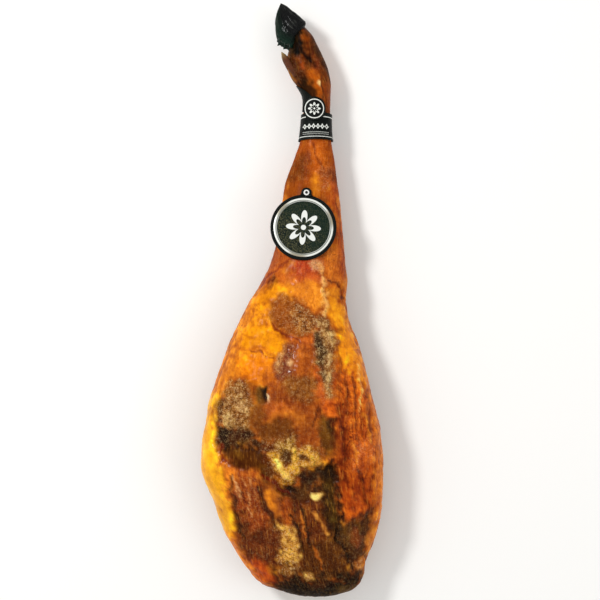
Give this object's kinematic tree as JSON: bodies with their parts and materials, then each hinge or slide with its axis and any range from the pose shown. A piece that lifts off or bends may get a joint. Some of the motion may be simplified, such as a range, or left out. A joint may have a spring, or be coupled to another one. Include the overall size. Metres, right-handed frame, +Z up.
{
  "type": "cured ham",
  "caption": "Whole bone-in cured ham with its trotter, lying lean face up, with a paper label on the shank and a round tag hung on a pin.",
  "frame": {"origin": "on the floor, under the middle of the whole object's bounding box", "axes": "+Y from the butt to the toes, +X towards the shin side of the leg, +Z up out of the lean face; the ham lies on its rind on z = 0"},
  "size_m": [0.2612, 0.8575, 0.1281],
  "materials": {
    "cured_meat": "oiled, glossy fat and dry cured muscle",
    "horn": "dull black horn",
    "pale_horn": "dull brown horn",
    "label_paper": "satin black print",
    "strap_plastic": "satin",
    "medallion_plastic": "pebbled field, smooth rim",
    "silver_foil": "bright",
    "pale_plastic": "satin",
    "pin_steel": "darkened"
  },
  "bodies": {
    "root": {"ham": "cured_meat", "claw_upper": "horn", "claw_lower": "horn", "dewclaw_upper": "pale_horn", "dewclaw_lower": "pale_horn", "label_band": "label_paper", "label_badge": "label_paper", "seal_strap": "strap_plastic", "medallion": "medallion_plastic", "medallion_ring": "silver_foil", "medallion_eyelet": "pale_plastic", "medallion_pin": "pin_steel"}
  },
  "joints": []
}
